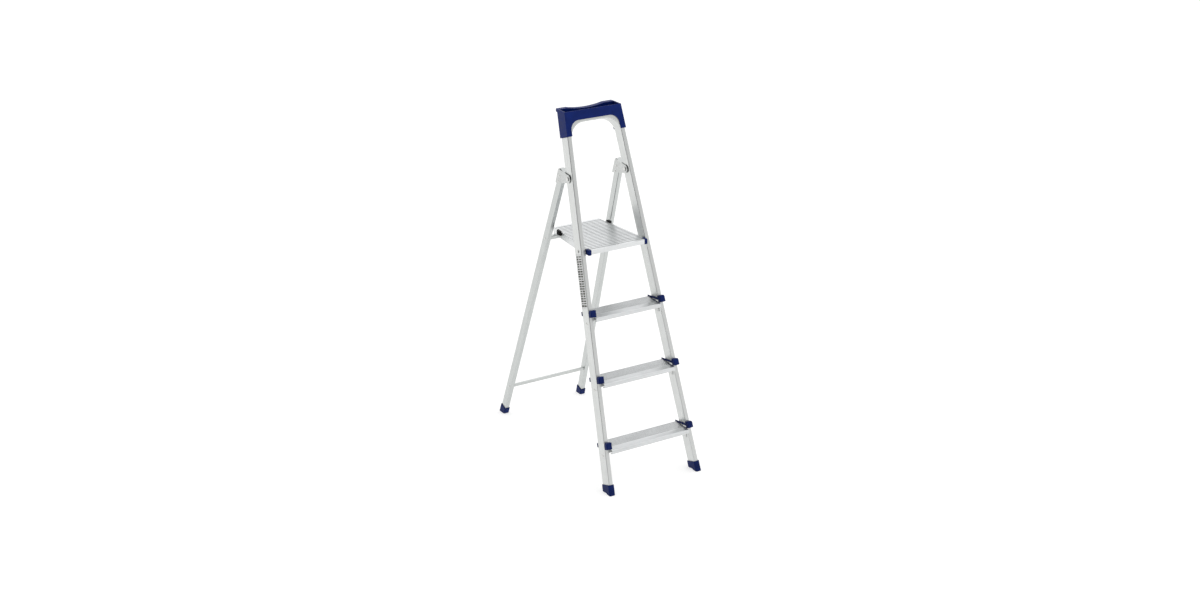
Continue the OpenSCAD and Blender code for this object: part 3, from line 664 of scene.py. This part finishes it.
# %% Find each rivet in the frame and set it
HEAD_THICKNESS = 1.6 * MM
HEAD_SIZE = 9 * MM
SHANK_SIZE = 4.8 * MM
MANDREL = (0.3, 0.3, 1.12)      # of the dome's own size
END_DEPTH = 0.2 * MM            # points this near to an end belong to it
HEADED = 0.7                    # of a shank's width: an end that reaches further out has a head


def islands(node):
    """The corner points of each separate solid in a node."""
    shape = bmesh.new()
    shape.from_mesh(frame["nodes"][node].data)
    bmesh.ops.remove_doubles(shape, verts=shape.verts, dist=0.01 * MM)
    left = set(shape.verts)
    groups = []
    while left:
        group, edge = set(), {min(left, key=lambda v: v.index)}
        while edge:
            group |= edge
            edge = {e.other_vert(v) for v in edge for e in v.link_edges} - group
        left -= group
        groups.append(np.array([v.co[:] for v in sorted(group, key=lambda v: v.index)]))
    shape.free()
    return groups


def rivet_ends(points):
    """Seat, outward axis and shank length at each headed end of one rivet."""
    middle = points.mean(0)
    spread, axes = np.linalg.eigh(np.cov((points - middle).T))
    odd = 2 if spread[1] - spread[0] < spread[2] - spread[1] else 0
    axis = axes[:, odd]
    along = (points - middle) @ axis
    away = np.linalg.norm(points - middle - np.outer(along, axis), axis=1)
    ends = []
    for side in (-1, 1):
        end = (side * along).max()
        at_end = abs(side * along - end) < END_DEPTH
        if away[at_end].max() > SHANK_SIZE * HEADED:
            seat = middle + side * axis * (end - HEAD_THICKNESS)
            ends.append((seat, side * axis))
    length = (along.max() - along.min() - HEAD_THICKNESS) / max(len(ends), 1)
    return [(*end, length) for end in ends]


rivets = rivet_tree()


def set_rivets(name, body, *nodes):
    """One piece with every rivet of some nodes."""
    ends = [end for node in nodes for points in islands(node) for end in rivet_ends(points)]
    mesh = bpy.data.meshes.new(name)
    mesh.from_pydata([tuple(seat) for seat, _, _ in ends], [], [])
    axis = mesh.attributes.new("axis", "FLOAT_VECTOR", "POINT")
    axis.data.foreach_set("vector", np.array([a for _, a, _ in ends]).ravel())
    length = mesh.attributes.new("length", "FLOAT", "POINT")
    length.data.foreach_set("value", [size for _, _, size in ends])
    piece = grown(name, mesh, rivets, Head=HEAD_SIZE, Rise=HEAD_THICKNESS, Shank=SHANK_SIZE,
                  Material=rivet_metal)
    hand_over(flat_and_round(piece), body, "rivet_metal", *nodes)


set_rivets("stile_rivets", "front_frame", "tread_rivets")
set_rivets("leg_rivets", "rear_frame", "bracket_rivets", "crossbar_rivets", "latch_rivets")
set_rivets("rail_hook_rivets", "platform", "hook_rivets")

# %% [markdown]
# ## The label
# The left stile carries a printed label. What such a label says is not part of a reusable
# model, so it is a plain film with two columns of grey bars, as a page looks from too far
# off to read. One grid of points, two across, carries the bars, and a seeded Random Value
# sizes them.

# %% Label film and its printed bars
def plain_print(name, colour, pale, roughness, patch):
    """Film or ink: two close colours that drift over a patch."""
    material, tree, shader = start_material(name)
    place = add(tree, "ShaderNodeTexCoord").outputs["Object"]
    drift = add(tree, "ShaderNodeTexNoise", values={"Scale": 1 / patch, "Detail": 2},
                links={"Vector": place})
    shade = add(tree, "ShaderNodeValToRGB", links={"Fac": drift.outputs["Fac"]})
    shade.color_ramp.elements[0].position = 0.35
    shade.color_ramp.elements[0].color = linear(colour)
    shade.color_ramp.elements[1].position = 0.65
    shade.color_ramp.elements[1].color = linear(pale)
    tree.links.new(shade.outputs["Color"], shader.inputs["Base Color"])
    shader.inputs["Roughness"].default_value = roughness
    return material


label_film = plain_print("satin_label_film", "D2D4D3", "DCDEDD", 0.4, 60 * MM)
label_ink = plain_print("grey_label_ink", "26251F", "45443C", 0.6, 8 * MM)


def bars_tree():
    """A grid of flat bars of random sizes."""
    tree, given = start_tree("printed_bars", {
        "Width": "Float", "Height": "Float", "Columns": "Int", "Rows": "Int", "Seed": "Int",
        "Material": "Material"})
    grid = add(tree, "GeometryNodeMeshGrid",
               links={"Size X": given["Width"], "Size Y": given["Height"],
                      "Vertices X": given["Columns"], "Vertices Y": given["Rows"]})
    bar = add(tree, "GeometryNodeMeshCube", values={"Size": (1, 1, 1)})
    size = add(tree, "FunctionNodeRandomValue", data_type="FLOAT_VECTOR",
               links={"Seed": given["Seed"]})
    size.inputs["Min"].default_value = SMALLEST_BAR
    size.inputs["Max"].default_value = LARGEST_BAR
    bars = add(tree, "GeometryNodeInstanceOnPoints",
               links={"Points": grid.outputs["Mesh"], "Instance": bar.outputs["Mesh"],
                      "Scale": size.outputs["Value"]})
    end_tree(tree, bars.outputs["Instances"], given["Material"])
    return tree


SMALLEST_BAR = (11 * MM, 3.5 * MM, 0.2 * MM)
LARGEST_BAR = (18 * MM, 7 * MM, 0.2 * MM)
BAR_PITCH = 9 * MM
FILM_MARGIN = 10 * MM
COLUMN_PITCH = 0.45             # of the film's width
corners = loose_points("stile_label")
film_middle = corners.mean(0)
film_axes = np.linalg.svd(corners - film_middle)[2]
film_size = [np.ptp((corners - film_middle) @ axis) for axis in film_axes]
outwards = Vector(film_axes[2]) * (-1 if film_axes[2][0] > 0 else 1)
up = Vector(film_axes[0]) * (1 if film_axes[0][2] > 0 else -1)
film_turn = Matrix((up.cross(outwards), up, outwards)).transposed()
on_film = Vector(film_middle) + outwards * film_size[2] / 2
film_place = Matrix.Translation(on_film) @ film_turn.to_4x4()
rows = int((film_size[0] - FILM_MARGIN) / BAR_PITCH)
bars = grown("label_bars", bpy.data.meshes.new("bars"), bars_tree(), film_place,
             Width=film_size[1] * COLUMN_PITCH, Height=BAR_PITCH * (rows - 1), Columns=2,
             Rows=rows, Seed=4, Material=label_ink)
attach(bars, "front_frame")
print("the label has", rows * 2, "bars on a film", [round(v / MM, 1) for v in film_size], "mm")

# %% [markdown]
# ## CAD nodes that stay
# The ribbed treads, the platform and its rails, the washers, the cap's screws, the spigots
# inside the hoop, the flush rivets and the label's film already have their true shape in the
# frame. They stay, and only take a finish. The loop gives one to every node, hidden or not.

# %% Finishes for the nodes that stay
SLOT_FINISH = {
    "tube_aluminium": tube_metal,
    "tread_aluminium": tread_metal,
    "deck_aluminium": deck_metal,
    "pressed_aluminium": pressed_metal,
    "rivet_metal": rivet_metal,
    "blue_plastic": fitting_plastic,
    "black_plastic": black_plastic,
    "label_film": label_film,
}
for part in frame["record"]["subparts"]:
    node = frame["nodes"][part["node"]]
    node.data.materials.clear()
    node.data.materials.append(SLOT_FINISH[part["material_slot"]])

# %% [markdown]
# ## Floor and light
# Bare metal shows whatever stands round it, so the studio is lit for what each face sees.
# The back wall is bright, for the treads and the platform to shine in. The wall in front is
# bright low down and fades upwards, so the fronts of the stiles darken towards the top. A
# black flag to the left of the camera draws a dark line down each tube's corner. It is part
# of the sky, so a low view from the right sees it above the floor. The floor is a light
# table: it glows a little, so the ladder stands on white with no hard shadow.

# %% Floor
FLOOR_HALF = 40
FLOOR_GLOW = 0.6
floor_mesh = bpy.data.meshes.new("floor")
floor_mesh.from_pydata([(-FLOOR_HALF, -FLOOR_HALF, 0), (FLOOR_HALF, -FLOOR_HALF, 0),
                        (FLOOR_HALF, FLOOR_HALF, 0), (-FLOOR_HALF, FLOOR_HALF, 0)],
                       [], [(0, 1, 2, 3)])
floor = new_object("floor", floor_mesh)
floor_paint, _, floor_shader = start_material("white_light_table")
floor_shader.inputs["Base Color"].default_value = linear("BEBEBD")
floor_shader.inputs["Roughness"].default_value = 0.9
floor_shader.inputs["Specular IOR Level"].default_value = 0.0
floor_shader.inputs["Emission Color"].default_value = (1, 1, 1, 1)
floor_shader.inputs["Emission Strength"].default_value = FLOOR_GLOW
floor.data.materials.append(floor_paint)
floor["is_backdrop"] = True

# %% Walls and flag
scene = bpy.context.scene
world = bpy.data.worlds.new("studio")
scene.world = world
world.use_nodes = True
sky = world.node_tree
background = sky.nodes["Background"]
BACK = Vector((0.52, 0.85, 0))
BACK_LIGHT = 1.22
BACK_EDGE = (-0.45, 0.35)       # where the front wall turns into the back wall
FRONT_LIGHT = (0.98, 0.55)      # low down and high up
FRONT_FADE = (0.12, 0.34)       # heights in the sky between those two
FLAG = Vector((-0.87, -0.49, 0.07)).normalized()
FLAG_EDGE = (0.7, 0.88)         # from full light to full flag
FLAG_LIGHT = 0.02
direction = add(sky, "ShaderNodeTexCoord").outputs["Generated"]
height = add(sky, "ShaderNodeSeparateXYZ", links={"Vector": direction}).outputs["Z"]
to_back = add(sky, "ShaderNodeVectorMath", operation="DOT_PRODUCT", values={1: BACK},
              links={0: direction})
to_flag = add(sky, "ShaderNodeVectorMath", operation="DOT_PRODUCT", values={1: FLAG},
              links={0: direction})
front_wall = add(sky, "ShaderNodeMapRange",
                 values={"From Min": FRONT_FADE[0], "From Max": FRONT_FADE[1],
                         "To Min": FRONT_LIGHT[0], "To Max": FRONT_LIGHT[1]},
                 links={"Value": height})
behind = add(sky, "ShaderNodeMapRange",
             values={"From Min": BACK_EDGE[0], "From Max": BACK_EDGE[1]},
             links={"Value": to_back.outputs["Value"]}, interpolation_type="SMOOTHSTEP")
walls = add(sky, "ShaderNodeMix", values={"B": BACK_LIGHT},
            links={"Factor": behind.outputs["Result"], "A": front_wall.outputs["Result"]})
flagged = add(sky, "ShaderNodeMapRange",
              values={"From Min": FLAG_EDGE[0], "From Max": FLAG_EDGE[1],
                      "To Min": 1, "To Max": FLAG_LIGHT},
              links={"Value": to_flag.outputs["Value"]}, interpolation_type="SMOOTHSTEP")
light = add(sky, "ShaderNodeMath", operation="MULTIPLY",
            links={0: walls.outputs["Result"], 1: flagged.outputs["Result"]})
sky.links.new(light.outputs["Value"], background.inputs["Strength"])
background.inputs["Color"].default_value = (1, 1, 1, 1)

sun_data = bpy.data.lights.new("soft_top_light", "SUN")
sun_data.energy = 0.5
sun_data.angle = math.radians(50)       # wide, for shadows with no edge
sun = bpy.data.objects.new("soft_top_light", sun_data)
sun.rotation_euler = (math.radians(32), math.radians(18), 0)
scene.collection.objects.link(sun)
scene.view_settings.view_transform = "Standard"
print("walls, flag and top light set")

# %% Measure and finish
low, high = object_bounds()
print("the shown ladder measures", [round(v, 4) for v in high - low], "m")
